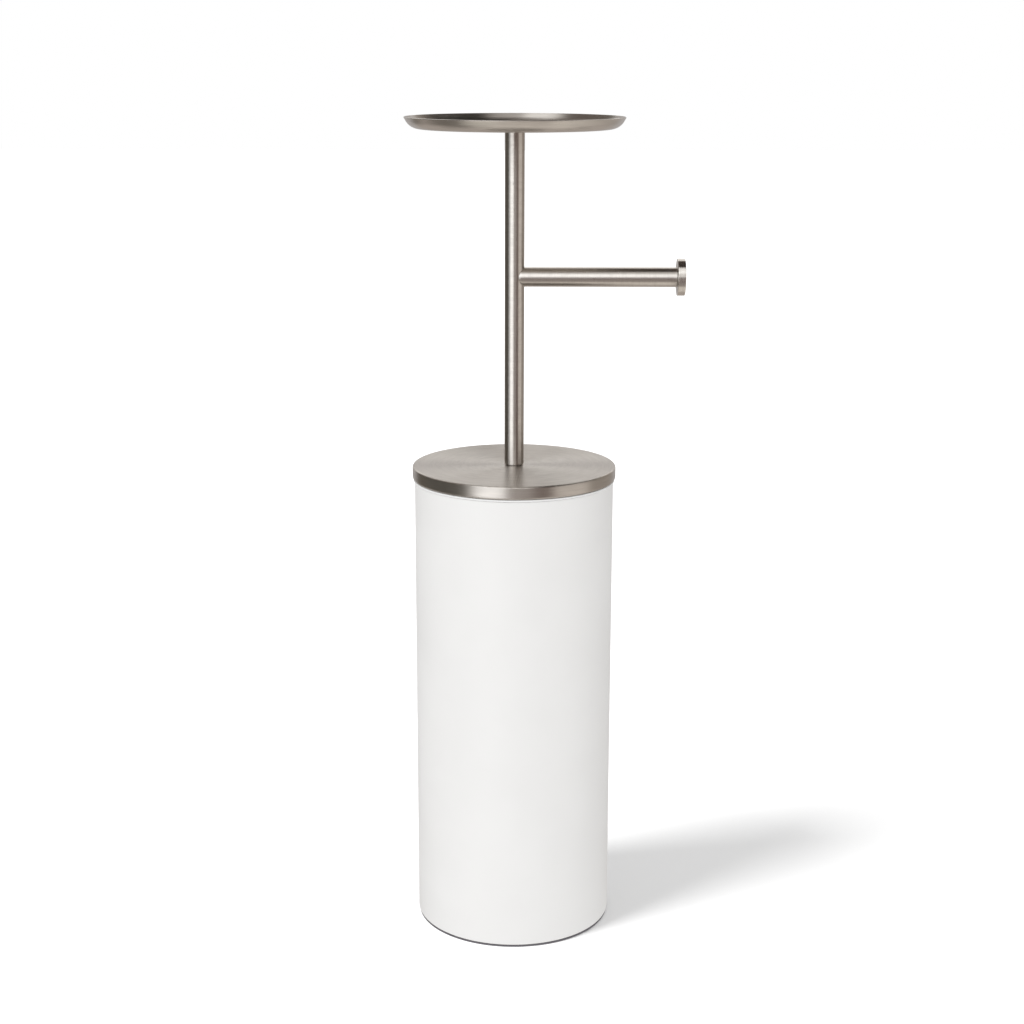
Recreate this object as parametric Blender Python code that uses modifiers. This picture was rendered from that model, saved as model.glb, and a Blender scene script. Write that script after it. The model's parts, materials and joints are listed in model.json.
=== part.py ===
"""A freestanding toilet paper holder.

A white canister keeps the spare rolls. Its lid lifts off and turns on a white rim ring, and carries
a post with the roll's arm and a shallow tray on top. Sizes are in metres, +Z is up, +X is the arm's
side, and the origin is the middle of the base, on the floor.
"""

import math

import bpy
from mathutils import Vector

# Gap that is kept between two pieces whose faces meet
SEAT_GAP = 0.0003
# Play that lets the lid drop over the rim ring by hand
LID_PLAY = 0.0005
# How far a cutter reaches past what it cuts
OVERRUN = 0.002
MERGE_DISTANCE = 0.00001
# Furthest that an arc's straight steps may leave the true arc
ARC_TOLERANCE = 0.00006

# Canister: a rolled steel tube with its bottom edge turned in
CANISTER_RADIUS = 0.077
CANISTER_HEIGHT = 0.3571
CANISTER_WALL = 0.001
CANISTER_HEM_WIDTH = 0.008
CANISTER_HEM_RADIUS = 0.002

# Canister floor: a pressed disc with its edge turned up and its middle raised
FLOOR_SHEET = 0.001
FLOOR_RIM_HEIGHT = 0.006
FLOOR_RIM_RADIUS = 0.002
FLOOR_PANEL_RADIUS = 0.058
FLOOR_PANEL_RISE = 0.002
FLOOR_PANEL_SLOPE = 0.004

# Base pad: the dark non-slip disc that shows as a thin line under the canister
PAD_THICKNESS = 0.0012
PAD_INSET = 0.0008

# Rim ring: the white ring in the canister's mouth that the lid rests and turns on
RING_WALL = 0.0016
RING_FLANGE_THICKNESS = 0.0015
RING_FLANGE_REACH = 0.001
RING_EDGE_RADIUS = 0.0006
RING_LEG_LENGTH = 0.009
RING_COLLAR_HEIGHT = 0.004
RING_LEAD_IN = 0.0005

# Lid: a drawn cap with a rounded top edge and its lower edge turned in
LID_OVERHANG = 0.0017
LID_HEIGHT = 0.01
LID_SHEET = 0.0008
LID_TOP_RADIUS = 0.0016
LID_HEM_RADIUS = 0.0012
LID_HEM_WIDTH = 0.0022

# Stiffener: the pressed plate that spreads the post's load under the lid
STIFFENER_RADIUS = 0.048
STIFFENER_SHEET = 0.0015
STIFFENER_SKIRT = 0.005
STIFFENER_EDGE_RADIUS = 0.0025

# Screw and washers that hold the post to the lid
SCREW_RADIUS = 0.003
SCREW_GRIP = 0.014
SCREW_HEAD_RADIUS = 0.0055
SCREW_HEAD_HEIGHT = 0.0033
SCREW_HEAD_EDGE_RADIUS = 0.0012
SCREW_TIP_CHAMFER = 0.0006
SOCKET_RADIUS = 0.0023
SOCKET_DEPTH = 0.002
WASHER_RADIUS = 0.009
WASHER_THICKNESS = 0.0012
LOCK_WASHER_WIDTH = 0.0024
LOCK_WASHER_THICKNESS = 0.0015
LOCK_WASHER_SPLIT = 0.0012

# Post: the upright tube between the lid and the tray
POST_RADIUS = 0.0075
POST_WALL = 0.0012
POST_LENGTH = 0.2547
POST_FOOT_RADIUS = 0.0009
POST_TOP_RADIUS = 0.0004

# Threaded plugs pressed into the post's two ends
PLUG_LENGTH = 0.02
PLUG_CHAMFER = 0.0005

# Arm: the tube that holds the roll in use, cut to a saddle that wraps the post. Its tips are blunt,
# and start this far from the post's axis.
ARM_HEIGHT = 0.145
ARM_RADIUS = 0.0075
ARM_WALL = 0.0012
ARM_TIP = 0.003
ARM_TIP_RADIUS = 0.0008
ARM_CLEAR_LENGTH = 0.1155

# End disc: the turned stop on the arm's free end, with a spigot inside the tube
DISC_RADIUS = 0.014
DISC_THICKNESS = 0.006
DISC_EDGE_RADIUS = 0.0005
SPIGOT_LENGTH = 0.012
SPIGOT_CHAMFER = 0.0005

# Tray: a shallow spun dish with a flared rim
TRAY_RADIUS = 0.0828
TRAY_HEIGHT = 0.009
TRAY_SHEET = 0.001
TRAY_BEND_RADIUS = 0.0115
TRAY_FLARE_DEGREES = 60
TRAY_LIP_RADIUS = 0.0003

# Stud welded under the tray, which screws into the post's upper plug
STUD_LENGTH = 0.012
STUD_FOOT_THICKNESS = 0.0015

# Straight steps round a full turn
WIDE_STEPS = 60
TUBE_STEPS = 40
SMALL_STEPS = 24
HEXAGON_SIDES = 6
LIP_SEGMENTS = 2
SHARP_DEGREES = 35
BEVEL_FROM_DEGREES = 60

# Sizes that follow from the ones above
CANISTER_FOOT_Z = PAD_THICKNESS + SEAT_GAP
CANISTER_TOP_Z = CANISTER_FOOT_Z + CANISTER_HEIGHT
CANISTER_BORE_RADIUS = CANISTER_RADIUS - CANISTER_WALL
RING_Z = CANISTER_TOP_Z + SEAT_GAP
LID_Z = RING_Z + RING_FLANGE_THICKNESS + SEAT_GAP
LID_RADIUS = CANISTER_RADIUS + LID_OVERHANG
LID_HEM_BORE_RADIUS = LID_RADIUS - LID_HEM_WIDTH
POST_BORE_RADIUS = POST_RADIUS - POST_WALL
POST_FOOT_HEIGHT = LID_HEIGHT + SEAT_GAP
SCREW_HOLE_RADIUS = SCREW_RADIUS + SEAT_GAP
PLUG_RADIUS = POST_BORE_RADIUS - SEAT_GAP
TRAY_UNDERSIDE_HEIGHT = POST_FOOT_HEIGHT + POST_LENGTH + SEAT_GAP
STUD_FOOT_HEIGHT = TRAY_UNDERSIDE_HEIGHT - SEAT_GAP - STUD_FOOT_THICKNESS
ARM_BORE_RADIUS = ARM_RADIUS - ARM_WALL
DISC_FACE = POST_RADIUS + ARM_CLEAR_LENGTH


def clear_scene():
    """Removes every object that the file starts with."""
    for obj in list(bpy.data.objects):
        bpy.data.objects.remove(obj)


def new_collection(name):
    collection = bpy.data.collections.new(name)
    bpy.context.scene.collection.children.link(collection)
    return collection


def surface(name, colour, metallic, roughness):
    """Returns a material with one plain Principled BSDF."""
    material = bpy.data.materials.new(name)
    material.use_nodes = True
    shader = material.node_tree.nodes["Principled BSDF"]
    shader.inputs["Base Color"].default_value = (*colour, 1)
    shader.inputs["Metallic"].default_value = metallic
    shader.inputs["Roughness"].default_value = roughness
    material.diffuse_color = (*colour, 1)
    return material


def add_empty(name, height, parent=None):
    """Adds the empty that a group of pieces hangs on, at a height on the turning axis."""
    empty = bpy.data.objects.new(name, None)
    empty.location.z = height
    empty.parent = parent
    PARTS.objects.link(empty)
    return empty


def arc_points(before, corner, after, radius):
    """Returns the points of the arc that rounds one corner of an outline."""
    back = (before - corner).normalized()
    ahead = (after - corner).normalized()
    half_angle = back.angle(ahead) / 2
    centre = corner + (back + ahead).normalized() * radius / math.sin(half_angle)
    first = (corner + back * radius / math.tan(half_angle) - centre).normalized()
    last = (corner + ahead * radius / math.tan(half_angle) - centre).normalized()
    step_angle = 2 * math.acos(1 - min(ARC_TOLERANCE / radius, 1))
    steps = max(1, math.ceil((math.pi - 2 * half_angle) / step_angle))
    return [centre + first.slerp(last, step / steps) * radius for step in range(steps + 1)]


def rounded(corners, closed):
    """Returns an outline's points. A corner is (radius, height) or (radius, height, fillet)."""
    places = [Vector(corner[:2]) for corner in corners]
    points = []
    for index, corner in enumerate(corners):
        at_end = not closed and index in (0, len(corners) - 1)
        if len(corner) < 3 or at_end:
            points.append(places[index])
            continue
        before = places[index - 1]
        after = places[(index + 1) % len(places)]
        points.extend(arc_points(before, places[index], after, corner[2]))
    return points


def settle(obj):
    """Turns an object's modifiers into its mesh, shaded smooth with its sharp edges kept."""
    evaluated = obj.evaluated_get(bpy.context.evaluated_depsgraph_get())
    mesh = bpy.data.meshes.new_from_object(evaluated)
    obj.modifiers.clear()
    obj.data = mesh
    mesh.name = obj.name
    mesh.shade_smooth()
    mesh.set_sharp_from_angle(angle=math.radians(SHARP_DEGREES))


def turned(name, material, corners, steps, closed=True, sheet=0, lip=0, parent=None, height=0):
    """Makes a turned piece from an outline that runs down its outer side.

    A closed outline is the whole section. An open one either ends on the axis at both ends, or is
    the outside of a sheet of the given thickness, whose edges may be rounded by lip.
    """
    points = rounded(corners, closed)
    edges = [(index, index + 1) for index in range(len(points) - 1)]
    if closed:
        edges.append((len(points) - 1, 0))
    mesh = bpy.data.meshes.new(name)
    mesh.from_pydata([(point.x, 0, point.y) for point in points], edges, [])
    mesh.materials.append(material)
    obj = bpy.data.objects.new(name, mesh)
    PARTS.objects.link(obj)
    obj.parent = parent
    obj.location.z = height

    screw = obj.modifiers.new("Turn", "SCREW")
    screw.angle = math.tau
    screw.steps = steps
    screw.render_steps = steps
    screw.use_merge_vertices = True
    screw.merge_threshold = MERGE_DISTANCE
    if sheet:
        solidify = obj.modifiers.new("Sheet", "SOLIDIFY")
        solidify.thickness = sheet
        solidify.offset = -1
        solidify.use_even_offset = True
    if lip:
        bevel = obj.modifiers.new("Lip", "BEVEL")
        bevel.width = lip
        bevel.segments = LIP_SEGMENTS
        bevel.limit_method = "ANGLE"
        bevel.angle_limit = math.radians(BEVEL_FROM_DEGREES)
    settle(obj)
    return obj


def cut(obj, cutter):
    """Cuts one object by another, which moves to the cutters."""
    bpy.context.view_layer.update()
    boolean = obj.modifiers.new("Cut", "BOOLEAN")
    boolean.operation = "DIFFERENCE"
    boolean.solver = "EXACT"
    boolean.object = cutter
    settle(obj)


def add_cutter(name, primitive, parent, location, **sizes):
    """Adds a primitive that only cuts, hidden from the picture."""
    primitive(location=location, **sizes)
    cutter = bpy.context.object
    cutter.name = name
    cutter.data.name = name
    for collection in list(cutter.users_collection):
        collection.objects.unlink(cutter)
    CUTTERS.objects.link(cutter)
    cutter.parent = parent
    cutter.hide_render = True
    cutter.display_type = "WIRE"
    return cutter


def make_base_pad():
    radius = CANISTER_RADIUS - PAD_INSET
    corners = [(0, PAD_THICKNESS), (radius, PAD_THICKNESS), (radius, 0), (0, 0)]
    turned("base_pad", DARK_RUBBER, corners, WIDE_STEPS, closed=False)


def make_canister_shell():
    corners = [
        (CANISTER_RADIUS, CANISTER_HEIGHT),
        (CANISTER_RADIUS, 0, CANISTER_HEM_RADIUS),
        (CANISTER_RADIUS - CANISTER_HEM_WIDTH, 0),
    ]
    turned("canister_shell", WHITE_PAINT, corners, WIDE_STEPS, closed=False,
           sheet=CANISTER_WALL, height=CANISTER_FOOT_Z)


def make_canister_floor():
    """The floor's rim stands inside the shell, and its edge lies on the shell's hem."""
    rim_radius = CANISTER_BORE_RADIUS - SEAT_GAP
    corners = [
        (rim_radius, FLOOR_RIM_HEIGHT),
        (rim_radius, 0, FLOOR_RIM_RADIUS),
        (FLOOR_PANEL_RADIUS, 0),
        (FLOOR_PANEL_RADIUS - FLOOR_PANEL_SLOPE, FLOOR_PANEL_RISE),
        (0, FLOOR_PANEL_RISE),
    ]
    turned("canister_floor", WHITE_PAINT, corners, WIDE_STEPS, closed=False, sheet=FLOOR_SHEET,
           height=CANISTER_FOOT_Z + CANISTER_WALL + SEAT_GAP)


def make_rim_ring(axis):
    """A leg stands inside the canister's mouth, a flange covers its edge, a collar guides the lid."""
    leg_radius = CANISTER_BORE_RADIUS - SEAT_GAP
    bore_radius = leg_radius - RING_WALL
    collar_radius = LID_HEM_BORE_RADIUS - LID_PLAY
    flange_radius = CANISTER_RADIUS + RING_FLANGE_REACH
    collar_top = RING_FLANGE_THICKNESS + RING_COLLAR_HEIGHT
    corners = [
        (bore_radius, collar_top),
        (collar_radius - RING_LEAD_IN, collar_top),
        (collar_radius, collar_top - RING_LEAD_IN),
        (collar_radius, RING_FLANGE_THICKNESS),
        (flange_radius, RING_FLANGE_THICKNESS, RING_EDGE_RADIUS),
        (flange_radius, 0, RING_EDGE_RADIUS),
        (leg_radius, 0),
        (leg_radius, RING_LEAD_IN - RING_LEG_LENGTH),
        (leg_radius - RING_LEAD_IN, -RING_LEG_LENGTH),
        (bore_radius, -RING_LEG_LENGTH),
    ]
    turned("rim_ring", WHITE_PLASTIC, corners, WIDE_STEPS, parent=axis)


def make_lid_cap(lid):
    corners = [
        (SCREW_HOLE_RADIUS, LID_HEIGHT),
        (LID_RADIUS, LID_HEIGHT, LID_TOP_RADIUS),
        (LID_RADIUS, 0, LID_HEM_RADIUS),
        (LID_HEM_BORE_RADIUS, 0),
    ]
    turned("lid_cap", BRUSHED_NICKEL, corners, WIDE_STEPS, closed=False, sheet=LID_SHEET, parent=lid)


def make_lid_fixing(lid):
    """Stiffener, washers and screw, stacked downwards from the lid's underside."""
    top = LID_HEIGHT - LID_SHEET - SEAT_GAP
    corners = [
        (SCREW_HOLE_RADIUS, 0),
        (STIFFENER_RADIUS, 0, STIFFENER_EDGE_RADIUS),
        (STIFFENER_RADIUS, -STIFFENER_SKIRT),
    ]
    turned("lid_stiffener", PLAIN_STEEL, corners, TUBE_STEPS, closed=False, sheet=STIFFENER_SHEET,
           parent=lid, height=top)

    top -= STIFFENER_SHEET + SEAT_GAP
    ring_piece("lid_washer", WASHER_RADIUS, WASHER_THICKNESS, lid, top)

    top -= WASHER_THICKNESS + SEAT_GAP
    outer = SCREW_HOLE_RADIUS + LOCK_WASHER_WIDTH
    lock_washer = ring_piece("lid_lock_washer", outer, LOCK_WASHER_THICKNESS, lid, top)
    split = add_cutter("lock_washer_split", bpy.ops.mesh.primitive_cube_add, lid,
                       (outer, 0, top - LOCK_WASHER_THICKNESS / 2), size=1)
    length = 2 * LOCK_WASHER_WIDTH + OVERRUN
    split.scale = (length, LOCK_WASHER_SPLIT, LOCK_WASHER_THICKNESS + OVERRUN)
    cut(lock_washer, split)

    top -= LOCK_WASHER_THICKNESS + SEAT_GAP
    tip = POST_FOOT_HEIGHT + SCREW_GRIP - top
    corners = [
        (0, tip),
        (SCREW_RADIUS - SCREW_TIP_CHAMFER, tip),
        (SCREW_RADIUS, tip - SCREW_TIP_CHAMFER),
        (SCREW_RADIUS, 0),
        (SCREW_HEAD_RADIUS, 0),
        (SCREW_HEAD_RADIUS, -SCREW_HEAD_HEIGHT, SCREW_HEAD_EDGE_RADIUS),
        (0, -SCREW_HEAD_HEIGHT),
    ]
    screw = turned("lid_screw", PLAIN_STEEL, corners, SMALL_STEPS, closed=False, parent=lid, height=top)
    depth = SOCKET_DEPTH + OVERRUN
    socket = add_cutter("screw_socket", bpy.ops.mesh.primitive_cylinder_add, lid,
                        (0, 0, top - SCREW_HEAD_HEIGHT + SOCKET_DEPTH - depth / 2),
                        vertices=HEXAGON_SIDES, radius=SOCKET_RADIUS, depth=depth)
    cut(screw, socket)


def ring_piece(name, radius, thickness, lid, top):
    """A flat washer round the lid's screw, below the height given."""
    corners = [
        (SCREW_HOLE_RADIUS, 0),
        (radius, 0),
        (radius, -thickness),
        (SCREW_HOLE_RADIUS, -thickness),
    ]
    return turned(name, PLAIN_STEEL, corners, SMALL_STEPS, parent=lid, height=top)


def make_post_tube(lid):
    corners = [
        (POST_BORE_RADIUS, POST_LENGTH),
        (POST_RADIUS, POST_LENGTH, POST_TOP_RADIUS),
        (POST_RADIUS, 0, POST_FOOT_RADIUS),
        (POST_BORE_RADIUS, 0),
    ]
    turned("post_tube", BRUSHED_NICKEL, corners, TUBE_STEPS, parent=lid, height=POST_FOOT_HEIGHT)


def make_plug(name, lid, foot_height):
    """A plug with a hole for the screw or the stud, chamfered where it enters the tube."""
    corners = [
        (SCREW_HOLE_RADIUS, PLUG_LENGTH),
        (PLUG_RADIUS - PLUG_CHAMFER, PLUG_LENGTH),
        (PLUG_RADIUS, PLUG_LENGTH - PLUG_CHAMFER),
        (PLUG_RADIUS, PLUG_CHAMFER),
        (PLUG_RADIUS - PLUG_CHAMFER, 0),
        (SCREW_HOLE_RADIUS, 0),
    ]
    turned(name, PLAIN_STEEL, corners, SMALL_STEPS, parent=lid, height=foot_height)


def make_arm(lid):
    """The arm's tube starts beside the post's axis, and the post's own round cuts its saddle."""
    arm_z = POST_FOOT_HEIGHT + ARM_HEIGHT
    tube_end = DISC_FACE - SEAT_GAP
    corners = [
        (ARM_BORE_RADIUS, tube_end),
        (ARM_RADIUS, tube_end),
        (ARM_RADIUS, ARM_TIP, ARM_TIP_RADIUS),
        (ARM_BORE_RADIUS, ARM_TIP),
    ]
    tube = turned("arm_tube", BRUSHED_NICKEL, corners, TUBE_STEPS, parent=lid, height=arm_z)
    tube.rotation_euler.y = math.pi / 2
    saddle = add_cutter("arm_saddle", bpy.ops.mesh.primitive_cylinder_add, lid, (0, 0, arm_z),
                        vertices=WIDE_STEPS, radius=POST_RADIUS + SEAT_GAP,
                        depth=2 * (ARM_RADIUS + OVERRUN))
    cut(tube, saddle)

    spigot_radius = ARM_BORE_RADIUS - SEAT_GAP
    corners = [
        (0, DISC_THICKNESS),
        (DISC_RADIUS, DISC_THICKNESS, DISC_EDGE_RADIUS),
        (DISC_RADIUS, 0, DISC_EDGE_RADIUS),
        (spigot_radius, 0),
        (spigot_radius, SPIGOT_CHAMFER - SPIGOT_LENGTH),
        (spigot_radius - SPIGOT_CHAMFER, -SPIGOT_LENGTH),
        (0, -SPIGOT_LENGTH),
    ]
    disc = turned("arm_end_disc", BRUSHED_NICKEL, corners, TUBE_STEPS, closed=False, parent=lid)
    disc.location = (DISC_FACE, 0, arm_z)
    disc.rotation_euler.y = math.pi / 2


def make_tray(lid):
    """The outline follows the underside: down the flare, round the bend and in to the middle."""
    flare = math.radians(TRAY_FLARE_DEGREES)
    lip_height = TRAY_HEIGHT - TRAY_SHEET * math.cos(flare)
    bend_radius_at_floor = TRAY_RADIUS - lip_height / math.tan(flare)
    corners = [
        (TRAY_RADIUS, lip_height),
        (bend_radius_at_floor, 0, TRAY_BEND_RADIUS),
        (0, 0),
    ]
    turned("tray", BRUSHED_NICKEL, corners, WIDE_STEPS, closed=False, sheet=TRAY_SHEET,
           lip=TRAY_LIP_RADIUS, parent=lid, height=TRAY_UNDERSIDE_HEIGHT)

    foot_radius = POST_BORE_RADIUS - SEAT_GAP
    corners = [
        (0, STUD_FOOT_THICKNESS),
        (foot_radius, STUD_FOOT_THICKNESS),
        (foot_radius, 0),
        (SCREW_RADIUS, 0),
        (SCREW_RADIUS, SCREW_TIP_CHAMFER - STUD_LENGTH),
        (SCREW_RADIUS - SCREW_TIP_CHAMFER, -STUD_LENGTH),
        (0, -STUD_LENGTH),
    ]
    turned("tray_stud", PLAIN_STEEL, corners, SMALL_STEPS, closed=False, parent=lid,
           height=STUD_FOOT_HEIGHT)


clear_scene()
PARTS = new_collection("toilet_paper_holder")
CUTTERS = new_collection("cutters")

WHITE_PAINT = surface("white_paint", (0.83, 0.82, 0.8), 0, 0.35)
WHITE_PLASTIC = surface("white_plastic", (0.86, 0.86, 0.85), 0, 0.4)
DARK_RUBBER = surface("dark_rubber", (0.03, 0.03, 0.035), 0, 0.8)
BRUSHED_NICKEL = surface("brushed_nickel", (0.56, 0.52, 0.47), 1, 0.3)
PLAIN_STEEL = surface("plain_steel", (0.5, 0.5, 0.5), 1, 0.4)

make_base_pad()
make_canister_shell()
make_canister_floor()

turn_axis = add_empty("turn_axis", RING_Z)
make_rim_ring(turn_axis)

lid_lift = add_empty("lid_lift", LID_Z - RING_Z, turn_axis)
make_lid_cap(lid_lift)
make_lid_fixing(lid_lift)
make_post_tube(lid_lift)
make_plug("post_lower_plug", lid_lift, POST_FOOT_HEIGHT)
make_plug("post_upper_plug", lid_lift, STUD_FOOT_HEIGHT - SEAT_GAP - PLUG_LENGTH)
make_arm(lid_lift)
make_tray(lid_lift)
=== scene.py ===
"""Looks of the freestanding toilet paper holder.

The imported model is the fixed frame. Finer pieces stand for its turned sheet and tubes, every surface
gets its finish, and a plain studio shows the object as the photograph does. Sizes are in metres.
"""

import json
import math

import bpy
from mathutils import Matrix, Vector

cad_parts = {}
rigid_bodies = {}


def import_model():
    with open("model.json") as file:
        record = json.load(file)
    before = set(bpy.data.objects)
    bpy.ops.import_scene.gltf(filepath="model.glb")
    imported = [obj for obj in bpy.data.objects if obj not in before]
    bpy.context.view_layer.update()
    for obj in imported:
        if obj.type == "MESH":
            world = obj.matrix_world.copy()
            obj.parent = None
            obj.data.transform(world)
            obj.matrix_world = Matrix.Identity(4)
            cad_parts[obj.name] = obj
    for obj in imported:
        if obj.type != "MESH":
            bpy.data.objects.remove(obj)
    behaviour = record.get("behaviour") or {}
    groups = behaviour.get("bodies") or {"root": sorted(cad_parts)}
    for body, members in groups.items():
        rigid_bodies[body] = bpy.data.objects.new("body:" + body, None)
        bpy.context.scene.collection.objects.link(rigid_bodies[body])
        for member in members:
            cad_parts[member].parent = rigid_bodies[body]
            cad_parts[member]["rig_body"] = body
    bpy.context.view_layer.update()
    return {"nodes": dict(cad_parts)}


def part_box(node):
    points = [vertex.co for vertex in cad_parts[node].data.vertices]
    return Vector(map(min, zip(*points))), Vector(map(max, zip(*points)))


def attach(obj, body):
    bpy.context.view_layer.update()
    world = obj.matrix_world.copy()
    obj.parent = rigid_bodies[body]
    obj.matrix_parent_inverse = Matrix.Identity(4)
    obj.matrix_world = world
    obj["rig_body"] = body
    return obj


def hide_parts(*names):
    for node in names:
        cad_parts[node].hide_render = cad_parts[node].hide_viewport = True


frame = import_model()

# Camera, fitted to the photograph
IMAGE_PIXELS = 1024
SENSOR_WIDTH = 36.0
FOCAL_PIXELS = 1867.11
CAMERA_PLACE = (-0.001511, -1.41577, 0.6819)
CAMERA_PITCH = 0.24196
CAMERA_ROLL = 0.00226

# Sheet, wall and edge sizes that a node's box doesn't give
CANISTER_WALL = 0.001
CANISTER_HEM_WIDTH = 0.008
CANISTER_HEM_RADIUS = 0.002
FLOOR_SHEET = 0.001
FLOOR_RIM_RADIUS = 0.002
FLOOR_PANEL_RADIUS = 0.058
FLOOR_PANEL_RISE = 0.002
FLOOR_PANEL_SLOPE = 0.004
PAD_EDGE_RADIUS = 0.0003
RING_WALL = 0.0016
RING_FLANGE_THICKNESS = 0.0015
RING_EDGE_RADIUS = 0.0006
RING_COLLAR_HEIGHT = 0.004
RING_LEAD_IN = 0.0005
LID_SHEET = 0.0008
LID_TOP_RADIUS = 0.0016
LID_HEM_RADIUS = 0.0018
LID_HEM_WIDTH = 0.0022
LID_PLAY = 0.0005
SCREW_HOLE_RADIUS = 0.0033
STIFFENER_SHEET = 0.0015
STIFFENER_EDGE_RADIUS = 0.0025
POST_WALL = 0.0012
POST_FOOT_RADIUS = 0.0009
POST_TOP_RADIUS = 0.0004
ARM_WALL = 0.0012
SEAT_GAP = 0.0003
SADDLE_GAP = 0.00005
ARM_TIP = 0.003
ARM_TIP_BEND = 0.0025
DISC_THICKNESS = 0.006
DISC_EDGE_RADIUS = 0.0005
SPIGOT_CHAMFER = 0.0005
TRAY_SHEET = 0.001
TRAY_BEND_RADIUS = 0.0115
TRAY_FLARE_DEGREES = 60
TRAY_LIP_RADIUS = 0.0003

# Fineness of the meshes
WIDE_STEPS = 256
TUBE_STEPS = 128
ARC_TOLERANCE = 0.000004
MERGE_DISTANCE = 0.00001
SADDLE_ROWS = 10
TIP_SHARPNESS = 3
TIP_BEND_LEAST = 0.15
LIP_SEGMENTS = 5
SHARP_DEGREES = 35
BEVEL_FROM_DEGREES = 60
WHOLE_WEIGHT = 50

# Sizes of the marks in the finishes
FINE_STREAK = 0.0004
DISC_STREAK = 0.0006
BROAD_STREAK = 0.003
SMUDGE_SIZE = 0.05
# The bright edges' patches and width below are partly rubbed metal and partly a painted highlight
WEAR_AND_SHEEN_SIZE = 0.004
EDGE_WEAR_AND_SHEEN = 0.0009
PEEL_SIZE = 0.0016
PAINT_GRAIN = 0.0004
PORE_SIZE = 0.0005
ZINC_PATCH = 0.006

# Depths of the marks in the finishes
BRUSH_DEPTH = 0.0000015
DISC_BRUSH_DEPTH = 0.000003
PEEL_DEPTH = 0.000006
PAINT_GRAIN_DEPTH = 0.000002
MOULD_DEPTH = 0.000004
ZINC_DEPTH = 0.000004
PORE_DEPTH = 0.00005
SCATTER_DEPTH = 0.001

# Values of a texture that count as its low and its high spots
MARKS = (0.3, 0.7)
NICKEL_SMUDGES = (0.45, 0.7)
PAINT_SMUDGES = (0.3, 0.75)
# Patches of the bright edges, partly rubbed metal and partly a painted highlight
WEAR_AND_SHEEN_PATCHES = (0.35, 0.65)
PORES = (0.1, 0.6)

# Roughness at the low and at the high spots
PAINT_ROUGHNESS = (0.4, 0.5)
PLASTIC_ROUGHNESS = (0.42, 0.52)
RUBBER_ROUGHNESS = (0.9, 0.7)
ZINC_ROUGHNESS = (0.28, 0.42)

# Brushed nickel. Fine and broad streaks together change its brightness and its roughness.
FINE_SHARE = 0.6
BROAD_SHARE = 0.4
STREAK_GRAIN = 0.6
DULLEST = 0.93
BRIGHTEST = 1.07
BRUSH_ROUGHNESS = 0.03
SMUDGE_ROUGHNESS = 0.025
SMALLEST_DISTANCE = 0.00001

# Turn of the stretched highlights against the streaks, in whole turns
HIGHLIGHT_TURN = 0.25

# Edges made bright, partly real rubbing and partly a painted highlight: how much smoother they are,
# the share of their width that is fully bright, and how bright their least rubbed patches are
WORN_POLISH = 0.08
WORN_SHEEN_CORE = 0.4
WORN_SHEEN_LEAST = 0.35

# How far a rounded edge's middle lies in from the sharp corner, both ways, as a share of its radius
FILLET_MIDDLE = 0.29

# Each piece's own nickel. A larger lengths_round gives shorter streaks.
LID_NICKEL = {"lengths_round": 4.0, "roughness": 0.38, "anisotropy": 0.88}
POST_NICKEL = {"lengths_round": 1.5, "roughness": 0.33, "anisotropy": 0.9}
ARM_NICKEL = {"lengths_round": 1.5, "roughness": 0.3, "anisotropy": 0.75}
DISC_NICKEL = {"lengths_round": 1.0, "roughness": 0.26, "anisotropy": 0.9,
               "streak": DISC_STREAK, "depth": DISC_BRUSH_DEPTH}
# The tray's lip is less bright than the other edges, in rubbing and painted highlight alike
TRAY_NICKEL = {"lengths_round": 4.0, "roughness": 0.3, "anisotropy": 0.75, "sheen_and_wear": 0.3}

NICKEL = (0.62, 0.585, 0.55)
# Nickel of the bright edges, partly rubbed metal and partly a painted highlight
WORN_SHEEN_NICKEL = (0.78, 0.74, 0.69, 1)
PAINT_LIGHT = (0.86, 0.855, 0.845, 1)
PAINT_SHADE = (0.845, 0.84, 0.83, 1)
PLASTIC_LIGHT = (0.88, 0.88, 0.875, 1)
PLASTIC_SHADE = (0.86, 0.86, 0.855, 1)
PLASTIC_SCATTER = 0.05
RUBBER_LIGHT = (0.17, 0.16, 0.175, 1)
RUBBER_DARK = (0.11, 0.105, 0.12, 1)
ZINC_WARM = (0.66, 0.65, 0.62, 1)
ZINC_COOL = (0.6, 0.62, 0.64, 1)

FLOOR_COLOUR = (0.85, 0.85, 0.85, 1)
FLOOR_REACH = 12.0

# The room round the object. Its dome eases in over a small height at the horizon.
WHITE = (1, 1, 1, 1)
ROOM_COLOUR = (0.27, 0.23, 0.19, 1)
DOME_LOW = (0.3, 0.3, 0.3, 1)
DOME_HIGH = (1.05, 1.05, 1.05, 1)
DOME_BELOW = (1.08, 1.08, 1.08, 1)
DOME_EDGE = 0.06
HALF_TURN = 180.0

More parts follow.
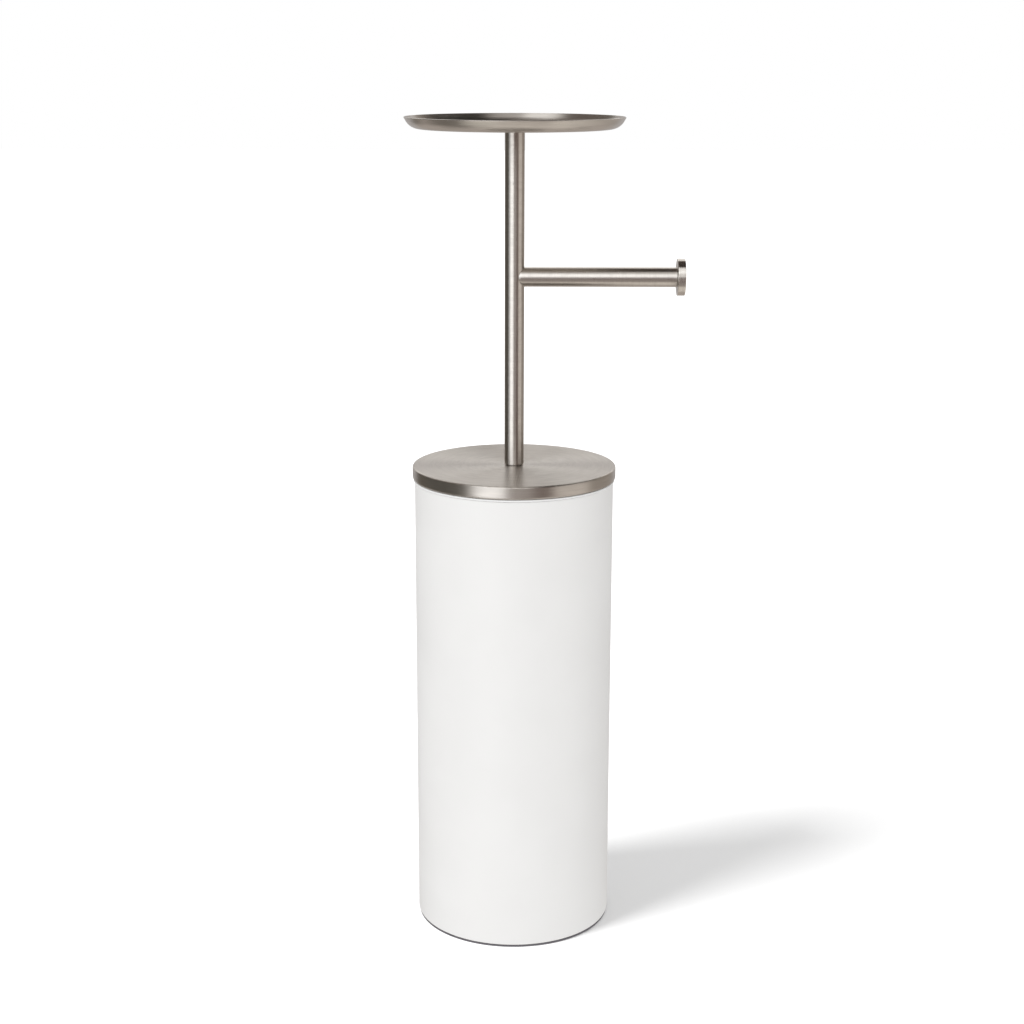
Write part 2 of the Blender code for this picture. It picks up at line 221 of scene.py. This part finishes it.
# Soft boxes in that room, each laid over those before it, as (azimuth of its middle, half its width,
# lowest and highest elevation, softness of its edges, colour). All angles of lights are in degrees,
# and azimuth 0 is the photograph's side and grows towards +X.
SOFT_BOXES = (
    (0, 180, 58, 90, 12, (0.06, 0.04, 0.03, 1)),  # dark overhead
    (0, 70, -50, -16, 14, (0.35, 0.31, 0.29, 1)),  # floor in front
    (-117, 57, -20, 90, 18, (0.17, 0.145, 0.13, 1)),  # dark wall on the left
    (91, 66, 25, 90, 14, (0.01, 0.01, 0.01, 1)),  # black above the right
    (100, 58, -64, -28, 16, (0.69, 0.65, 0.59, 1)),  # floor on the right
    (0, 180, -90, -54, 12, (0.83, 0.78, 0.71, 1)),  # floor right below
    (-98, 58, -68, -28, 16, (0.2, 0.18, 0.16, 1)),  # floor on the left
    (-50, 25, -62, -42, 10, (0.85, 0.82, 0.74, 1)),  # bright patch on that floor
    (180, 33, 16, 50, 10, (1.2, 1.19, 1.16, 1)),  # bright box behind, for the tray and the lid
    (180, 38, -25, 16, 10, (0.52, 0.5, 0.49, 1)),  # wall behind
    (180, 60, -80, -25, 14, (0.53, 0.48, 0.44, 1)),  # floor behind
    (-128, 14, -25, 25, 12, (0.11, 0.1, 0.08, 1)),  # left, towards the rear
    (-84, 34, -25, 25, 12, (0.09, 0.09, 0.08, 1)),  # dark left edge of the post
    (20, 28, -25, 30, 12, (0.14, 0.09, 0.08, 1)),  # dark gap between the post's two highlights
    (70, 24, -25, 27, 12, (0.85, 0.79, 0.73, 1)),  # the fainter highlight, on the right
    (118, 24, -25, 27, 12, (0.32, 0.28, 0.24, 1)),  # right, towards the rear
    (120, 22, -30, -12, 8, (0.5, 0.46, 0.42, 1)),  # right end of the lid's rim
    (-41, 29, 42, 66, 14, (1.5, 1.5, 1.46, 1)),  # high on the left
    (15, 27, 42, 64, 20, (0.7, 0.67, 0.64, 1)),  # high on the right
    (7, 15, 6, 44, 7, (1.1, 1.09, 1.06, 1)),  # front
    (-31, 20, -20, -2, 10, (1.28, 1.27, 1.24, 1)),  # lower half of the main highlight
    (-28.5, 20.5, -2, 44, 10, (1.38, 1.41, 1.44, 1)),  # upper half of the main highlight
)

# Suns, as (name, azimuth, elevation, spread, strength). The first lights the floor alone and the
# second the object alone.
FLOOR_SUN = ("floor_sun", -61, 47, 25, 3.7)
KEY_SUN = ("key_sun", -28, 30, 40, 0.87)

# Suns that light one nickel piece each, named last. They draw the highlights, so that the room can
# stay dim enough for every side.
NICKEL_KEYS = (
    ("post_key", -43, -1, 62, 0.68, "post_tube_fine"),
    ("rim_key", -27, -20, 36, 0.33, "lid_cap_fine"),
    ("arm_key", -12, 19, 48, 0.4, "arm_tube_fine"),
    ("disc_key", -12, 47, 44, 0.42, "arm_end_disc_fine"),
)
KEY_COLOUR = (0.96, 1.0, 1.03)


def arc_points(before, corner, after, radius):
    """Returns the points of the arc that rounds one corner of an outline."""
    back = (before - corner).normalized()
    ahead = (after - corner).normalized()
    half_angle = back.angle(ahead) / 2
    centre = corner + (back + ahead).normalized() * radius / math.sin(half_angle)
    first = (corner + back * radius / math.tan(half_angle) - centre).normalized()
    last = (corner + ahead * radius / math.tan(half_angle) - centre).normalized()
    step_angle = 2 * math.acos(1 - ARC_TOLERANCE / radius)
    steps = math.ceil((math.pi - 2 * half_angle) / step_angle)
    return [centre + first.slerp(last, step / steps) * radius for step in range(steps + 1)]


def rounded(corners, closed):
    """Returns an outline's points. A corner is (radius, height) or (radius, height, fillet)."""
    places = [Vector(corner[:2]) for corner in corners]
    points = []
    for index, corner in enumerate(corners):
        at_end = not closed and index in (0, len(corners) - 1)
        if len(corner) < 3 or at_end:
            points.append(places[index])
            continue
        before = places[index - 1]
        after = places[(index + 1) % len(places)]
        points.extend(arc_points(before, places[index], after, corner[2]))
    return points


def settle(obj):
    """Turns an object's modifiers into its mesh, shaded smooth with its sharp edges kept."""
    bpy.context.view_layer.update()
    evaluated = obj.evaluated_get(bpy.context.evaluated_depsgraph_get())
    mesh = bpy.data.meshes.new_from_object(evaluated)
    obj.modifiers.clear()
    obj.data = mesh
    mesh.name = obj.name
    mesh.shade_smooth()
    mesh.set_sharp_from_angle(angle=math.radians(SHARP_DEGREES))
    weighted = obj.modifiers.new("Normals", "WEIGHTED_NORMAL")
    weighted.weight = WHOLE_WEIGHT
    weighted.keep_sharp = True


def add_object(name, data):
    """Puts a new object into the scene."""
    obj = bpy.data.objects.new(name, data)
    bpy.context.scene.collection.objects.link(obj)
    return obj


def stand_for(obj, node):
    """The piece rides where the node does and is shown instead of it."""
    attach(obj, frame["nodes"][node]["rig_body"])
    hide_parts(node)


def turned(node, material, corners, steps, closed=True, sheet=0, lip=0, place=(0, 0, 0),
           lying=False):
    """Makes the fine piece that stands for a turned node, from an outline down its outer side.

    A closed outline is the whole section. An open one either ends on the axis at both ends, or is
    the outside of a sheet of the given thickness, whose edges may be rounded by lip.
    """
    points = rounded(corners, closed)
    edges = [(index, index + 1) for index in range(len(points) - 1)]
    if closed:
        edges.append((len(points) - 1, 0))
    name = node + "_fine"
    mesh = bpy.data.meshes.new(name)
    mesh.from_pydata([(point.x, 0, point.y) for point in points], edges, [])
    mesh.materials.append(material)
    obj = add_object(name, mesh)
    obj.location = place
    if lying:
        obj.rotation_euler.y = math.pi / 2

    screw = obj.modifiers.new("Turn", "SCREW")
    screw.angle = math.tau
    screw.steps = steps
    screw.render_steps = steps
    screw.use_merge_vertices = True
    screw.merge_threshold = MERGE_DISTANCE
    if sheet:
        solidify = obj.modifiers.new("Sheet", "SOLIDIFY")
        solidify.thickness = sheet
        solidify.offset = -1
        solidify.use_even_offset = True
    if lip:
        bevel = obj.modifiers.new("Lip", "BEVEL")
        bevel.width = lip
        bevel.segments = LIP_SEGMENTS
        bevel.limit_method = "ANGLE"
        bevel.angle_limit = math.radians(BEVEL_FROM_DEGREES)
    settle(obj)
    stand_for(obj, node)


def connect(tree, value, socket):
    """Links a socket to a value's output, or sets the value on it."""
    if isinstance(value, bpy.types.NodeSocket):
        tree.links.new(value, socket)
    else:
        socket.default_value = value


def calc(tree, operation, *values):
    """Adds a Math node and returns its output."""
    node = tree.nodes.new("ShaderNodeMath")
    node.operation = operation
    for socket, value in zip(node.inputs, values):
        connect(tree, value, socket)
    return node.outputs[0]


def ramp(tree, value, low, high, at_low=0.0, at_high=1.0):
    """Eases from one value to another as the given value goes from low to high."""
    node = tree.nodes.new("ShaderNodeMapRange")
    node.interpolation_type = "SMOOTHSTEP"
    connect(tree, value, node.inputs["Value"])
    connect(tree, low, node.inputs["From Min"])
    connect(tree, high, node.inputs["From Max"])
    connect(tree, at_low, node.inputs["To Min"])
    connect(tree, at_high, node.inputs["To Max"])
    return node.outputs["Result"]


def mixed(tree, share, first, second):
    """Adds a Mix node, whose sockets 6, 7 and 2 are those for colour, and returns its output."""
    node = tree.nodes.new("ShaderNodeMix")
    node.data_type = "RGBA"
    connect(tree, share, node.inputs["Factor"])
    connect(tree, first, node.inputs[6])
    connect(tree, second, node.inputs[7])
    return node.outputs[2]


def noise(tree, vector, scale, detail, roughness=0.5, w=None):
    """Adds a Noise texture, in four dimensions where w is given, and returns its value."""
    node = tree.nodes.new("ShaderNodeTexNoise")
    if w is not None:
        node.noise_dimensions = "4D"
        connect(tree, w, node.inputs["W"])
    connect(tree, vector, node.inputs["Vector"])
    node.inputs["Scale"].default_value = scale
    node.inputs["Detail"].default_value = detail
    node.inputs["Roughness"].default_value = roughness
    return node.outputs["Fac"]


def bump(tree, height, depth, below=None):
    """Adds a Bump node of the given depth in metres and returns its normal."""
    node = tree.nodes.new("ShaderNodeBump")
    node.inputs["Distance"].default_value = depth
    connect(tree, height, node.inputs["Height"])
    if below is not None:
        connect(tree, below, node.inputs["Normal"])
    return node.outputs["Normal"]


def new_material(name):
    """Returns a material, its node tree and its Principled BSDF."""
    material = bpy.data.materials.new(name)
    material.use_nodes = True
    tree = material.node_tree
    return material, tree, tree.nodes["Principled BSDF"]


def coordinates_of(tree, kind):
    """Returns the coordinates of the given kind, as one vector."""
    return tree.nodes.new("ShaderNodeTexCoord").outputs[kind]


def split(tree, vector):
    """Returns a vector's three parts."""
    node = tree.nodes.new("ShaderNodeSeparateXYZ")
    connect(tree, vector, node.inputs[0])
    return node.outputs


def combined(tree, x, y, z):
    """Returns the vector of three parts."""
    node = tree.nodes.new("ShaderNodeCombineXYZ")
    for socket, value in zip(node.inputs, (x, y, z)):
        connect(tree, value, socket)
    return node.outputs[0]


def distance(tree, x, y):
    """Returns how far off two offsets are together, and never quite zero."""
    square = calc(tree, "ADD", calc(tree, "MULTIPLY", x, x), calc(tree, "MULTIPLY", y, y))
    return calc(tree, "MAXIMUM", calc(tree, "SQRT", square), SMALLEST_DISTANCE)


def turned_streaks(tree, x, y, z, radius, width, lengths_round, detail):
    """Streaks that run round the piece's own axis, of the given width in metres."""
    along = combined(tree,
                     calc(tree, "MULTIPLY", calc(tree, "DIVIDE", x, radius), lengths_round),
                     calc(tree, "MULTIPLY", calc(tree, "DIVIDE", y, radius), lengths_round),
                     calc(tree, "DIVIDE", radius, width))
    return noise(tree, along, 1.0, detail, STREAK_GRAIN, w=calc(tree, "DIVIDE", z, width))


def edge_wear_and_sheen(tree, coordinates, radius, z, edges, sheen_and_wear):
    """Returns how far the nickel is made bright, in patches along its edges: partly rubbed metal and
    partly a painted highlight.
    """
    worn_and_sheen = 0.0
    for edge_radius, edge_height in edges:
        aside = calc(tree, "SUBTRACT", radius, edge_radius)
        above = calc(tree, "SUBTRACT", z, edge_height)
        near = ramp(tree, distance(tree, aside, above), EDGE_WEAR_AND_SHEEN * WORN_SHEEN_CORE, EDGE_WEAR_AND_SHEEN, 1.0, 0.0)
        worn_and_sheen = calc(tree, "MAXIMUM", worn_and_sheen, near)
    uneven = noise(tree, coordinates, 1 / WEAR_AND_SHEEN_SIZE, detail=2.0)
    return calc(tree, "MULTIPLY", worn_and_sheen, ramp(tree, uneven, *WEAR_AND_SHEEN_PATCHES, WORN_SHEEN_LEAST * sheen_and_wear, sheen_and_wear))


def brushed_nickel(name, lengths_round, roughness, anisotropy, edges=(), streak=FINE_STREAK,
                   depth=BRUSH_DEPTH, sheen_and_wear=1.0):
    """Satin nickel that was brushed while it turned, brighter on its edges from rubbing and from a
    painted highlight.

    Each edge is the (radius, height) of a circle round the piece's own axis.
    """
    material, tree, shader = new_material(name)
    coordinates = coordinates_of(tree, "Object")
    x, y, z = split(tree, coordinates)
    radius = distance(tree, x, y)
    fine = turned_streaks(tree, x, y, z, radius, streak, lengths_round, detail=3.0)
    broad = turned_streaks(tree, x, y, z, radius, BROAD_STREAK, lengths_round, detail=1.0)
    smudges = noise(tree, coordinates, 1 / SMUDGE_SIZE, detail=3.0)

    tint = calc(tree, "ADD", calc(tree, "MULTIPLY", fine, FINE_SHARE),
                calc(tree, "MULTIPLY", broad, BROAD_SHARE))
    dull = (*(channel * DULLEST for channel in NICKEL), 1)
    bright = (*(channel * BRIGHTEST for channel in NICKEL), 1)
    metal = mixed(tree, ramp(tree, tint, *MARKS), dull, bright)
    rough = ramp(tree, tint, *MARKS, roughness + BRUSH_ROUGHNESS, roughness - BRUSH_ROUGHNESS)
    rough = calc(tree, "ADD", rough, ramp(tree, smudges, *NICKEL_SMUDGES, 0.0, SMUDGE_ROUGHNESS))
    if edges:
        # Brighter patches along the edges: partly rubbed metal, partly a painted highlight
        worn_and_sheen = edge_wear_and_sheen(tree, coordinates, radius, z, edges, sheen_and_wear)
        metal = mixed(tree, worn_and_sheen, metal, WORN_SHEEN_NICKEL)
        rough = calc(tree, "SUBTRACT", rough, calc(tree, "MULTIPLY", worn_and_sheen, WORN_POLISH))

    connect(tree, metal, shader.inputs["Base Color"])
    connect(tree, rough, shader.inputs["Roughness"])
    shader.inputs["Metallic"].default_value = 1.0
    shader.inputs["Anisotropic"].default_value = anisotropy
    shader.inputs["Anisotropic Rotation"].default_value = HIGHLIGHT_TURN
    tangent = tree.nodes.new("ShaderNodeTangent")
    tangent.direction_type = "RADIAL"
    tangent.axis = "Z"
    connect(tree, tangent.outputs[0], shader.inputs["Tangent"])
    connect(tree, bump(tree, fine, depth), shader.inputs["Normal"])
    return material


def powder_coat():
    """Satin white paint with a fine orange peel."""
    material, tree, shader = new_material("white_powder_coat")
    coordinates = coordinates_of(tree, "Object")
    peel = noise(tree, coordinates, 1 / PEEL_SIZE, detail=2.0)
    grain = noise(tree, coordinates, 1 / PAINT_GRAIN, detail=1.0)
    smudges = noise(tree, coordinates, 1 / SMUDGE_SIZE, detail=3.0)
    paint = mixed(tree, ramp(tree, smudges, *MARKS), PAINT_SHADE, PAINT_LIGHT)
    connect(tree, paint, shader.inputs["Base Color"])
    rough = ramp(tree, smudges, *PAINT_SMUDGES, *PAINT_ROUGHNESS)
    connect(tree, rough, shader.inputs["Roughness"])
    normal = bump(tree, grain, PAINT_GRAIN_DEPTH, bump(tree, peel, PEEL_DEPTH))
    connect(tree, normal, shader.inputs["Normal"])
    return material


def moulded_plastic():
    """White plastic with the slight matt texture of its mould."""
    material, tree, shader = new_material("white_moulded_plastic")
    texture = noise(tree, coordinates_of(tree, "Object"), 1 / PAINT_GRAIN, detail=2.0)
    shade = mixed(tree, ramp(tree, texture, *MARKS), PLASTIC_SHADE, PLASTIC_LIGHT)
    connect(tree, shade, shader.inputs["Base Color"])
    connect(tree, ramp(tree, texture, *MARKS, *PLASTIC_ROUGHNESS), shader.inputs["Roughness"])
    shader.inputs["Subsurface Weight"].default_value = PLASTIC_SCATTER
    shader.inputs["Subsurface Radius"].default_value = (SCATTER_DEPTH,) * 3
    connect(tree, bump(tree, texture, MOULD_DEPTH), shader.inputs["Normal"])
    return material


def foam_rubber():
    """Dark closed-cell pad with fine pores."""
    material, tree, shader = new_material("dark_foam_rubber")
    cells = tree.nodes.new("ShaderNodeTexVoronoi")
    connect(tree, coordinates_of(tree, "Object"), cells.inputs["Vector"])
    cells.inputs["Scale"].default_value = 1 / PORE_SIZE
    pores = cells.outputs["Distance"]
    shade = mixed(tree, ramp(tree, pores, *PORES), RUBBER_DARK, RUBBER_LIGHT)
    connect(tree, shade, shader.inputs["Base Color"])
    connect(tree, ramp(tree, pores, *PORES, *RUBBER_ROUGHNESS), shader.inputs["Roughness"])
    connect(tree, bump(tree, pores, PORE_DEPTH), shader.inputs["Normal"])
    return material


def zinc_plate():
    """Bright zinc plate, slightly uneven in colour and gloss."""
    material, tree, shader = new_material("zinc_plated_steel")
    coordinates = coordinates_of(tree, "Object")
    patches = noise(tree, coordinates, 1 / ZINC_PATCH, detail=3.0)
    grain = noise(tree, coordinates, 1 / PAINT_GRAIN, detail=2.0)
    shade = mixed(tree, ramp(tree, patches, *MARKS), ZINC_WARM, ZINC_COOL)
    connect(tree, shade, shader.inputs["Base Color"])
    shader.inputs["Metallic"].default_value = 1.0
    connect(tree, ramp(tree, grain, *MARKS, *ZINC_ROUGHNESS), shader.inputs["Roughness"])
    connect(tree, bump(tree, grain, ZINC_DEPTH), shader.inputs["Normal"])
    return material


def make_canister(paint, rubber):
    """The pad, the shell and the pressed floor of the canister."""
    low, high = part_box("base_pad")
    corners = [
        (0, high.z),
        (high.x, high.z, PAD_EDGE_RADIUS),
        (high.x, low.z, PAD_EDGE_RADIUS),
        (0, low.z),
    ]
    turned("base_pad", rubber, corners, WIDE_STEPS, closed=False)

    low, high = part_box("canister_shell")
    corners = [
        (high.x, high.z),
        (high.x, low.z, CANISTER_HEM_RADIUS),
        (high.x - CANISTER_HEM_WIDTH, low.z),
    ]
    turned("canister_shell", paint, corners, WIDE_STEPS, closed=False,
           sheet=CANISTER_WALL)

    low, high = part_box("canister_floor")
    corners = [
        (high.x, high.z),
        (high.x, low.z, FLOOR_RIM_RADIUS),
        (FLOOR_PANEL_RADIUS, low.z),
        (FLOOR_PANEL_RADIUS - FLOOR_PANEL_SLOPE, low.z + FLOOR_PANEL_RISE),
        (0, low.z + FLOOR_PANEL_RISE),
    ]
    turned("canister_floor", paint, corners, WIDE_STEPS, closed=False,
           sheet=FLOOR_SHEET)


def make_ring(plastic):
    """The stepped ring in the canister's mouth, whose collar carries the lid."""
    low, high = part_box("rim_ring")
    floor_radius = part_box("canister_floor")[1].x
    bore_radius = floor_radius - RING_WALL
    collar_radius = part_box("lid_cap")[1].x - LID_HEM_WIDTH - LID_PLAY
    flange_top = high.z - RING_COLLAR_HEIGHT
    flange_foot = flange_top - RING_FLANGE_THICKNESS
    corners = [
        (bore_radius, high.z),
        (collar_radius - RING_LEAD_IN, high.z),
        (collar_radius, high.z - RING_LEAD_IN),
        (collar_radius, flange_top),
        (high.x, flange_top, RING_EDGE_RADIUS),
        (high.x, flange_foot, RING_EDGE_RADIUS),
        (floor_radius, flange_foot),
        (floor_radius, low.z + RING_LEAD_IN),
        (floor_radius - RING_LEAD_IN, low.z),
        (bore_radius, low.z),
    ]
    turned("rim_ring", plastic, corners, WIDE_STEPS)


def make_lid(steel):
    """The drawn cap and the stiffener under it."""
    low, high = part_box("lid_cap")
    top = high.z - low.z
    corners = [
        (SCREW_HOLE_RADIUS, top),
        (high.x, top, LID_TOP_RADIUS),
        (high.x, 0, LID_HEM_RADIUS),
        (high.x - LID_HEM_WIDTH, 0),
    ]
    shoulder = LID_TOP_RADIUS * FILLET_MIDDLE
    edges = [(high.x - shoulder, top - shoulder), (high.x, 0)]
    nickel = brushed_nickel("brushed_nickel_lid", edges=edges, **LID_NICKEL)
    turned("lid_cap", nickel, corners, WIDE_STEPS, closed=False, sheet=LID_SHEET,
           place=(0, 0, low.z))

    low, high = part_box("lid_stiffener")
    corners = [
        (SCREW_HOLE_RADIUS, high.z),
        (high.x, high.z, STIFFENER_EDGE_RADIUS),
        (high.x, low.z),
    ]
    turned("lid_stiffener", steel, corners, TUBE_STEPS, closed=False,
           sheet=STIFFENER_SHEET)


def make_post():
    """The upright tube, with its ends slightly rounded."""
    low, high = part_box("post_tube")
    length = high.z - low.z
    corners = [
        (high.x - POST_WALL, length),
        (high.x, length, POST_TOP_RADIUS),
        (high.x, 0, POST_FOOT_RADIUS),
        (high.x - POST_WALL, 0),
    ]
    edges = [(high.x, 0), (high.x, length)]
    nickel = brushed_nickel("brushed_nickel_post", edges=edges, **POST_NICKEL)
    turned("post_tube", nickel, corners, TUBE_STEPS, place=(0, 0, low.z))


def saddle_place(seat_radius, radius, angle):
    """How far along the arm a point on its given radius meets the post's round."""
    return math.sqrt(seat_radius ** 2 - (radius * math.sin(angle)) ** 2)


def curve_points(start, control, end):
    """A smooth bend from start to end, pulled towards control."""
    points = []
    for row in range(SADDLE_ROWS + 1):
        share = row / SADDLE_ROWS
        left = start.lerp(control, share)
        right = control.lerp(end, share)
        points.append(left.lerp(right, share))
    return points


def arm_section(angle, radius, length, seat_radius):
    """The arm tube's section at one angle round it, as (radius, distance along the arm) points.

    The saddle's tips are blunt, and their outer edge is rounded down to the post.
    """
    bore = radius - ARM_WALL
    side = math.sin(angle) ** 2
    tip_drop = radius - math.sqrt(seat_radius ** 2 - ARM_TIP ** 2)
    contact_radius = radius - tip_drop * side ** TIP_SHARPNESS
    contact = Vector((contact_radius, saddle_place(seat_radius, contact_radius, angle)))
    corner = Vector((radius, contact.y))
    bend = ARM_TIP_BEND * (TIP_BEND_LEAST + (1 - TIP_BEND_LEAST) * side)
    end = Vector((radius, contact.y + bend))
    points = [(bore, saddle_place(seat_radius, bore, angle))]
    points += curve_points(contact, corner, end)
    points += [(radius, length), (bore, length)]
    return points


def make_arm():
    """The arm and its end disc. The saddle wraps the post, and its tips lie on the post's sides."""
    low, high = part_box("arm_tube")
    post_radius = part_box("post_tube")[1].x
    height = (low.z + high.z) / 2
    radius = (high.z - low.z) / 2
    nickel = brushed_nickel("brushed_nickel_arm", **ARM_NICKEL)

    vertices = []
    faces = []
    for step in range(TUBE_STEPS):
        angle = math.tau * step / TUBE_STEPS
        section = arm_section(angle, radius, high.x, post_radius + SADDLE_GAP)
        rows = len(section)
        ahead = (step + 1) % TUBE_STEPS
        for row, (out, along) in enumerate(section):
            vertices.append((out * math.cos(angle), out * math.sin(angle), along))
            following = (row + 1) % rows
            faces.append((step * rows + row, step * rows + following,
                          ahead * rows + following, ahead * rows + row))
    mesh = bpy.data.meshes.new("arm_tube_fine")
    mesh.from_pydata(vertices, [], faces)
    mesh.materials.append(nickel)
    arm = add_object("arm_tube_fine", mesh)
    arm.location = (0, 0, height)
    arm.rotation_euler.y = math.pi / 2
    settle(arm)
    stand_for(arm, "arm_tube")

    low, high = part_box("arm_end_disc")
    disc_radius = (high.z - low.z) / 2
    face = high.x - DISC_THICKNESS
    spigot_radius = radius - ARM_WALL - SEAT_GAP
    spigot_length = face - low.x
    corners = [
        (0, DISC_THICKNESS),
        (disc_radius, DISC_THICKNESS, DISC_EDGE_RADIUS),
        (disc_radius, 0, DISC_EDGE_RADIUS),
        (spigot_radius, 0),
        (spigot_radius, SPIGOT_CHAMFER - spigot_length),
        (spigot_radius - SPIGOT_CHAMFER, -spigot_length),
        (0, -spigot_length),
    ]
    edges = [(disc_radius, 0), (disc_radius, DISC_THICKNESS)]
    turned_nickel = brushed_nickel("turned_nickel_disc", edges=edges, **DISC_NICKEL)
    turned("arm_end_disc", turned_nickel, corners, TUBE_STEPS, closed=False,
           place=(face, 0, height), lying=True)


def make_tray():
    """The spun dish. Its outline is its underside, up to the lip."""
    low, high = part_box("tray")
    flare = math.radians(TRAY_FLARE_DEGREES)
    lip_cut = TRAY_LIP_RADIUS * (math.sin(flare) + math.cos(flare) - 1)
    height = high.z - low.z + lip_cut
    lip_height = height - TRAY_SHEET * math.cos(flare)
    lip_radius = high.x + lip_cut
    bend_radius_at_floor = lip_radius - lip_height / math.tan(flare)
    corners = [
        (lip_radius, lip_height),
        (bend_radius_at_floor, 0, TRAY_BEND_RADIUS),
        (0, 0),
    ]
    edges = [(lip_radius, lip_height)]
    nickel = brushed_nickel("brushed_nickel_tray", edges=edges, **TRAY_NICKEL)
    turned("tray", nickel, corners, WIDE_STEPS, closed=False, sheet=TRAY_SHEET,
           lip=TRAY_LIP_RADIUS, place=(0, 0, low.z))


def finish_hidden_nodes(steel):
    """The fasteners keep their own shapes and get the plated finish."""
    for node in ("lid_washer", "lid_lock_washer", "lid_screw", "post_lower_plug",
                 "post_upper_plug", "tray_stud"):
        mesh = frame["nodes"][node].data
        mesh.materials.clear()
        mesh.materials.append(steel)


def make_floor():
    """A wide matt floor, which the object neither mirrors nor takes light from."""
    mesh = bpy.data.meshes.new("studio_floor")
    corners = [(-FLOOR_REACH, -FLOOR_REACH, 0), (FLOOR_REACH, -FLOOR_REACH, 0),
               (FLOOR_REACH, FLOOR_REACH, 0), (-FLOOR_REACH, FLOOR_REACH, 0)]
    mesh.from_pydata(corners, [], [(0, 1, 2, 3)])
    floor = add_object("studio_floor", mesh)
    material, tree, shader = new_material("pale_floor")
    shader.inputs["Base Color"].default_value = FLOOR_COLOUR
    shader.inputs["Roughness"].default_value = 1.0
    shader.inputs["Specular IOR Level"].default_value = 0.0
    mesh.materials.append(material)
    floor.visible_glossy = False
    floor.visible_diffuse = False
    return floor


def add_sun(name, azimuth, elevation, spread, strength, in_gloss=False, colour=(1, 1, 1)):
    """A distant soft light. It shows in the gloss of the finishes only where in_gloss is set."""
    sun = bpy.data.lights.new(name, "SUN")
    sun.energy = strength
    sun.color = colour
    sun.angle = math.radians(spread)
    obj = add_object(name, sun)
    turn = math.radians(azimuth)
    rise = math.radians(elevation)
    towards = Vector((math.sin(turn) * math.cos(rise), -math.cos(turn) * math.cos(rise),
                      math.sin(rise)))
    obj.rotation_euler = towards.to_track_quat("Z", "Y").to_euler()
    obj.visible_glossy = in_gloss
    return obj


def light_only(light, receivers, blocked_by_others=True):
    """The light falls on the given objects alone, and may pass through all the others."""
    group = bpy.data.collections.new("lit_by_" + light.name)
    for receiver in receivers:
        group.objects.link(receiver)
    light.light_linking.receiver_collection = group
    if not blocked_by_others:
        light.light_linking.blocker_collection = group


def soft_boxes(tree, direction):
    """Returns the room's colour in each direction, with its soft boxes."""
    x, y, z = split(tree, direction)
    azimuth = calc(tree, "DEGREES", calc(tree, "ARCTAN2", x, calc(tree, "MULTIPLY", y, -1.0)))
    elevation = calc(tree, "DEGREES", calc(tree, "ARCSINE", z))
    room = ROOM_COLOUR
    for centre, half_width, low, high, soft, colour in SOFT_BOXES:
        turn = calc(tree, "WRAP", calc(tree, "SUBTRACT", azimuth, centre), HALF_TURN, -HALF_TURN)
        aside = calc(tree, "ABSOLUTE", turn)
        inside = ramp(tree, aside, half_width - soft / 2, half_width + soft / 2, 1.0, 0.0)
        above = ramp(tree, elevation, low - soft / 2, low + soft / 2)
        below = ramp(tree, elevation, high - soft / 2, high + soft / 2, 1.0, 0.0)
        share = calc(tree, "MULTIPLY", inside, calc(tree, "MULTIPLY", above, below))
        room = mixed(tree, share, room, colour)
    return room


def make_world():
    """White to the camera, a soft dome to matt surfaces, and soft boxes in a dim room to gloss."""
    world = bpy.data.worlds.new("studio")
    bpy.context.scene.world = world
    world.use_nodes = True
    world.cycles.sampling_method = "NONE"
    tree = world.node_tree
    tree.nodes.clear()
    direction = coordinates_of(tree, "Generated")
    room = soft_boxes(tree, direction)

    height = split(tree, direction)[2]
    dome = mixed(tree, ramp(tree, height, 0.0, 1.0), DOME_LOW, DOME_HIGH)
    dome = mixed(tree, ramp(tree, height, -DOME_EDGE, 0.0), DOME_BELOW, dome)
    path = tree.nodes.new("ShaderNodeLightPath")
    seen = mixed(tree, path.outputs["Is Glossy Ray"], dome, room)
    seen = mixed(tree, path.outputs["Is Camera Ray"], seen, WHITE)
    background = tree.nodes.new("ShaderNodeBackground")
    connect(tree, seen, background.inputs["Color"])
    output = tree.nodes.new("ShaderNodeOutputWorld")
    connect(tree, background.outputs[0], output.inputs["Surface"])


def make_lights(floor):
    """One sun for the floor, one for the object, and one for each nickel piece with a highlight."""
    light_only(add_sun(*FLOOR_SUN), [floor])
    pieces = [obj for obj in bpy.context.scene.objects if obj.type == "MESH" and obj is not floor]
    light_only(add_sun(*KEY_SUN), pieces)
    for *sun, piece in NICKEL_KEYS:
        key = add_sun(*sun, in_gloss=True, colour=KEY_COLOUR)
        light_only(key, [bpy.data.objects[piece]], blocked_by_others=False)


def make_camera():
    """The photograph's camera."""
    data = bpy.data.cameras.new("photo_camera")
    data.sensor_width = SENSOR_WIDTH
    data.lens = SENSOR_WIDTH * FOCAL_PIXELS / IMAGE_PIXELS
    camera = add_object("photo_camera", data)
    camera.location = CAMERA_PLACE
    camera.rotation_mode = "ZYX"
    camera.rotation_euler = (math.pi / 2 - CAMERA_PITCH, 0, CAMERA_ROLL)
    bpy.context.scene.camera = camera


make_camera()
studio_floor = make_floor()
make_world()

plain_steel = zinc_plate()
make_canister(powder_coat(), foam_rubber())
make_ring(moulded_plastic())
make_lid(plain_steel)
make_post()
make_arm()
make_tray()
finish_hidden_nodes(plain_steel)
make_lights(studio_floor)

bpy.context.scene.view_settings.view_transform = "Standard"
